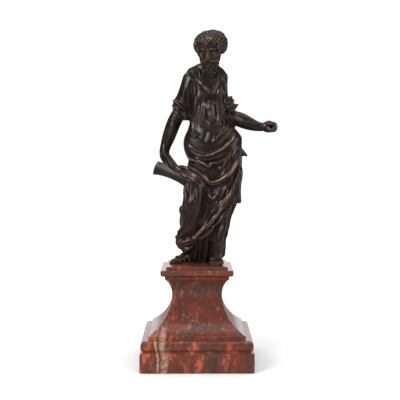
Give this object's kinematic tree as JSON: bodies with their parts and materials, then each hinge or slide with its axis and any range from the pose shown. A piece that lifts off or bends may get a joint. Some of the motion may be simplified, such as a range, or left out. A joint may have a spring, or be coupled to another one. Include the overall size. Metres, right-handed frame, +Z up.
{
  "type": "statuette on plinth",
  "caption": "Standing draped saint cast in bronze, right hand holding a book at the waist and left fist held out empty, on a square moulded plinth of red marble.",
  "frame": {"origin": "centre of the plinth's underside, on the surface the statuette stands on", "axes": "+Z up, -Y the side the saint faces, +X the saint's left, the side of the held-out fist"},
  "size_m": [0.1489, 0.122, 0.3698],
  "materials": {
    "marble": "polished red-brown marble with cream and grey veins",
    "bronze": "dark brown lacquered patina, rubbed to copper on the ridges"
  },
  "bodies": {
    "root": {"marble_plinth": "marble", "bronze_saint": "bronze"}
  },
  "joints": []
}
